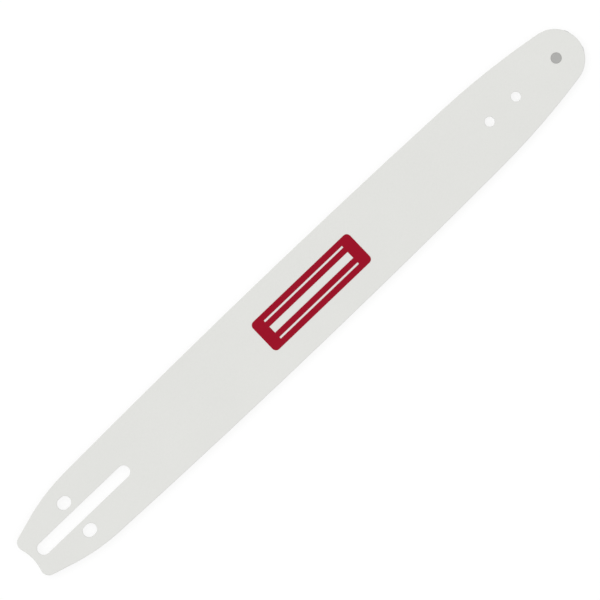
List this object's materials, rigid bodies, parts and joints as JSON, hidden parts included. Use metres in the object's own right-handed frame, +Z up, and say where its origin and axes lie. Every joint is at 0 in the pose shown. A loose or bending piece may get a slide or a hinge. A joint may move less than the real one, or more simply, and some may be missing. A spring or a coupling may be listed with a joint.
{
  "type": "chainsaw guide bar",
  "caption": "Long flat laminated guide bar with a rounded sprocket nose, a chain groove along both rails, and a stud slot with adjuster holes at the tail; it carries a saw chain.",
  "frame": {"origin": "middle of the stud slot, on the lower side face, which is the face that it lies on", "axes": "+X along the bar to the nose, +Y across it to one rail, +Z up through the three plates"},
  "size_m": [0.4608, 0.054, 0.0043],
  "materials": {
    "plate_paint": "pale grey satin paint, with bare ground steel along the rails",
    "core_steel": "rolled spring steel, oily",
    "sprocket_steel": "hardened and tumbled",
    "bearing_steel": "ground and polished",
    "rivet_steel": "spun flush, grey",
    "panel_film": "thin red film, satin gloss"
  },
  "bodies": {
    "bar": {"side_plate_lower": "plate_paint", "core_plate": "core_steel", "side_plate_upper": "plate_paint", "bearing_inner_race": "bearing_steel", "nose_rivet": "rivet_steel", "colour_panel": "panel_film"},
    "sprocket": {"nose_sprocket": "sprocket_steel"},
    "rollers": {"bearing_roller_01": "bearing_steel", "bearing_roller_02": "bearing_steel", "bearing_roller_03": "bearing_steel", "bearing_roller_04": "bearing_steel", "bearing_roller_05": "bearing_steel", "bearing_roller_06": "bearing_steel", "bearing_roller_07": "bearing_steel", "bearing_roller_08": "bearing_steel", "bearing_roller_09": "bearing_steel", "bearing_roller_10": "bearing_steel", "bearing_roller_11": "bearing_steel", "bearing_roller_12": "bearing_steel", "bearing_roller_13": "bearing_steel", "bearing_roller_14": "bearing_steel"}
  },
  "joints": [
    {"name": "sprocket_spin", "type": "hinge", "parent": "bar", "child": "sprocket", "pos_m": [0.399, 0, 0.0021], "axis": [0, 0, 1], "continuous": true},
    {"name": "roller_orbit", "type": "hinge", "parent": "bar", "child": "rollers", "pos_m": [0.399, 0, 0.0021], "axis": [0, 0, 1], "continuous": true}
  ],
  "couplings": [
    {"joint": "roller_orbit", "follows": "sprocket_spin", "ratio": 0.60993}
  ]
}
